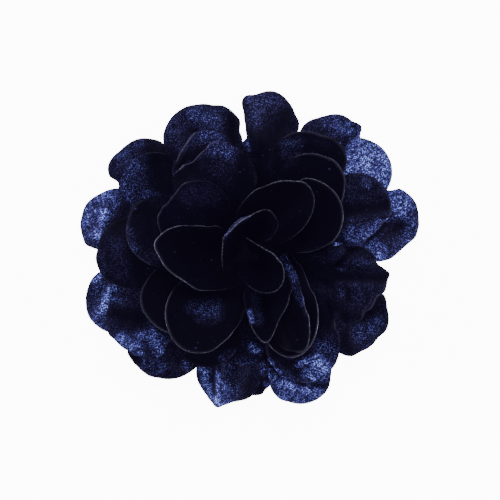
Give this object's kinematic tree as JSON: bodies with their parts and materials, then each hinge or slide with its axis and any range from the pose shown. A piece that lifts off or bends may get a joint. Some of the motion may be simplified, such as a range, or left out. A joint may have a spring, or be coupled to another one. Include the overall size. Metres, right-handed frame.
{
  "type": "fabric flower corsage brooch",
  "caption": "Full fabric flower corsage: rings of round cupped satin petals sewn to a felt disc, with a plain bar pin on its back.",
  "frame": {"origin": "centre of the flower's bounding box on the surface that its back lies on", "axes": "+Z the way that the flower faces, away from the wearer; +Y the top of the flower as worn; +X the flower's right as seen from the front"},
  "size_m": [0.108, 0.1016, 0.0389],
  "materials": {
    "petal_satin": "dark navy satin with a blue lustre, fine twill grain and heat-cut edges that catch the light",
    "backing_felt": "matt dark navy felt",
    "pin_metal": "plain nickel-plated steel"
  },
  "bodies": {
    "root": {"felt_disc": "backing_felt", "bar_pin": "pin_metal", "heart_petal_1": "petal_satin", "heart_petal_2": "petal_satin", "bud_petal_1": "petal_satin", "bud_petal_2": "petal_satin", "bud_petal_3": "petal_satin", "inner_petal_1": "petal_satin", "inner_petal_2": "petal_satin", "inner_petal_3": "petal_satin", "inner_petal_4": "petal_satin", "middle_petal_1": "petal_satin", "middle_petal_2": "petal_satin", "middle_petal_3": "petal_satin", "middle_petal_4": "petal_satin", "middle_petal_5": "petal_satin", "collar_petal_1": "petal_satin", "collar_petal_2": "petal_satin", "collar_petal_3": "petal_satin", "collar_petal_4": "petal_satin", "collar_petal_5": "petal_satin", "collar_petal_6": "petal_satin", "collar_petal_7": "petal_satin", "collar_petal_8": "petal_satin", "collar_petal_9": "petal_satin", "collar_petal_10": "petal_satin", "outer_petal_1": "petal_satin", "outer_petal_2": "petal_satin", "outer_petal_3": "petal_satin", "outer_petal_4": "petal_satin", "outer_petal_5": "petal_satin", "outer_petal_6": "petal_satin", "outer_petal_7": "petal_satin", "outer_petal_8": "petal_satin", "outer_petal_9": "petal_satin", "outer_petal_10": "petal_satin", "outer_petal_11": "petal_satin", "outer_petal_12": "petal_satin", "outer_petal_13": "petal_satin"}
  },
  "joints": []
}
